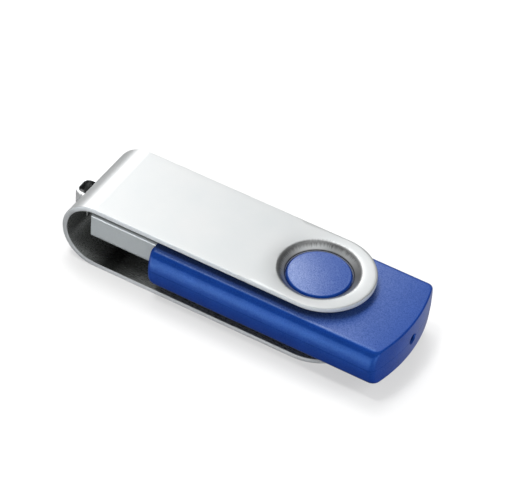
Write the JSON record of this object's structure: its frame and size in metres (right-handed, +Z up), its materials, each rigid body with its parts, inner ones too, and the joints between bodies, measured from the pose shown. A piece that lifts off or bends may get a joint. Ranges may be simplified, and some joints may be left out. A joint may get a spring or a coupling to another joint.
{
  "type": "usb flash drive",
  "caption": "Flat bowed plastic drive body with a standard plug, held in a U-bent metal cover that swivels a full turn on round bosses, with a lanyard loop on the bend.",
  "frame": {"origin": "on the surface that the drive lies on, under the middle of its box", "axes": "+X along the drive from the plug towards the rounded rear end, +Z up through the thickness, along the swivel axis"},
  "size_m": [0.0584, 0.0192, 0.0115],
  "materials": {
    "clip_steel": "satin, finely brushed",
    "loop_chrome": "polished",
    "blue_plastic": "satin, very finely textured",
    "plug_steel": "satin nickel plate",
    "insulator_plastic": "moulded",
    "contact_gold": "thin gold plate",
    "board_laminate": "green solder mask",
    "chip_resin": "moulded resin",
    "tinned_leads": "tinned",
    "crystal_can": "bare metal lid",
    "capacitor_ceramic": "bare ceramic with tinned ends",
    "resistor_film": "glazed",
    "ferrite": "bare",
    "led_resin": "clear resin",
    "solder": "bright"
  },
  "bodies": {
    "housing": {"upper_shell": "blue_plastic", "lower_shell": "blue_plastic", "plug_shell": "plug_steel", "plug_insulator": "insulator_plastic", "vbus_contact": "contact_gold", "data_minus_contact": "contact_gold", "data_plus_contact": "contact_gold", "ground_contact": "contact_gold", "circuit_board": "board_laminate", "flash_chip": "chip_resin", "flash_chip_leads": "tinned_leads", "controller_chip": "chip_resin", "controller_leads": "tinned_leads", "crystal": "crystal_can", "crystal_capacitors": "capacitor_ceramic", "supply_capacitors": "capacitor_ceramic", "resistors": "resistor_film", "ferrite_bead": "ferrite", "status_led": "led_resin", "contact_solder": "solder", "tab_solder": "solder"},
    "cover": {"swivel_clip": "clip_steel", "lanyard_loop": "loop_chrome"}
  },
  "joints": [
    {"name": "swivel", "type": "hinge", "parent": "housing", "child": "cover", "pos_m": [0.01295, 0, 0.00595], "axis": [0, 0, 1], "continuous": true}
  ]
}
